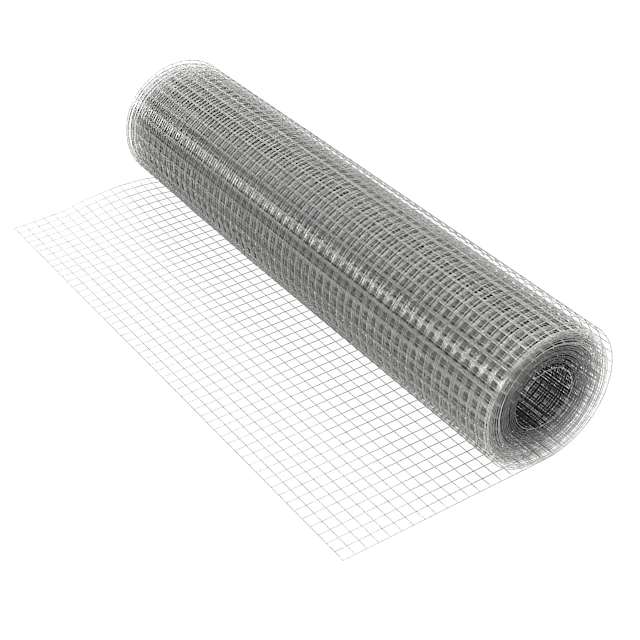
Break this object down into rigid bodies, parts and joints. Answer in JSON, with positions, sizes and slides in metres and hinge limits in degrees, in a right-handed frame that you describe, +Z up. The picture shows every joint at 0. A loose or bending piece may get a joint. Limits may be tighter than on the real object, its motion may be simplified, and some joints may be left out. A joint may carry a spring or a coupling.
{
  "type": "roll of welded wire mesh",
  "caption": "Roll of galvanised welded wire mesh lying on its side, with an open middle, a loose outer turn and a free end pulled out flat on the floor.",
  "frame": {"origin": "on the floor, at the bottom centre of the space that the roll and its free end take up", "axes": "+X along the roll, +Y from the free end towards the roll, +Z up from the floor"},
  "size_m": [1.008, 0.4612, 0.2296],
  "materials": {
    "galvanised_wire": "galvanised, satin"
  },
  "bodies": {
    "root": {"mesh_roll": "galvanised_wire", "free_end_front": "galvanised_wire", "free_end_middle": "galvanised_wire", "free_end_back": "galvanised_wire", "loose_turn_low": "galvanised_wire", "loose_turn_back": "galvanised_wire", "loose_turn_top": "galvanised_wire", "loose_turn_front": "galvanised_wire"}
  },
  "joints": []
}
